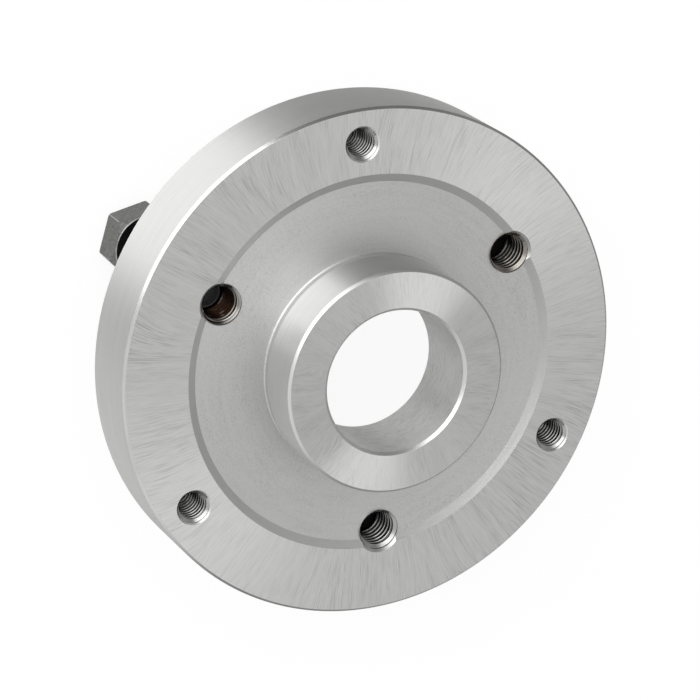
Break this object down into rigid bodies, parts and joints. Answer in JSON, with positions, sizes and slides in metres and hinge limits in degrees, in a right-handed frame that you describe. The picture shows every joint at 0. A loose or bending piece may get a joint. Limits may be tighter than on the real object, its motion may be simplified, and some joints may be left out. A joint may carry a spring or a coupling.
{
  "type": "chuck adapter plate",
  "caption": "Round steel plate that carries a lathe chuck on a short-taper spindle nose, with hub, bore, taper socket, tapped chuck holes and studs with collar nuts.",
  "frame": {"origin": "on the spindle axis, in the plane of the three stud ends on which the part stands", "axes": "+Z along the spindle axis towards the hub and the chuck; -Y towards stud 1"},
  "size_m": [0.125, 0.125, 0.075],
  "materials": {
    "plate_steel": "ground chuck face and hub, turned recess and rim",
    "stud_steel": "black oxide with cut threads",
    "nut_steel": "phosphated hexagon with a turned collar face"
  },
  "bodies": {
    "plate": {"adapter_plate": "plate_steel", "stud_1": "stud_steel", "stud_2": "stud_steel", "stud_3": "stud_steel"},
    "nut_1": {"collar_nut_1": "nut_steel"},
    "nut_2": {"collar_nut_2": "nut_steel"},
    "nut_3": {"collar_nut_3": "nut_steel"}
  },
  "joints": [
    {"name": "nut_1_turn", "type": "hinge", "parent": "plate", "child": "nut_1", "pos_m": [0, -0.0425, 0.00825], "axis": [0, 0, 1], "continuous": true},
    {"name": "nut_2_turn", "type": "hinge", "parent": "plate", "child": "nut_2", "pos_m": [0.03681, 0.02125, 0.00825], "axis": [0, 0, 1], "continuous": true},
    {"name": "nut_3_turn", "type": "hinge", "parent": "plate", "child": "nut_3", "pos_m": [-0.03681, 0.02125, 0.00825], "axis": [0, 0, 1], "continuous": true}
  ]
}
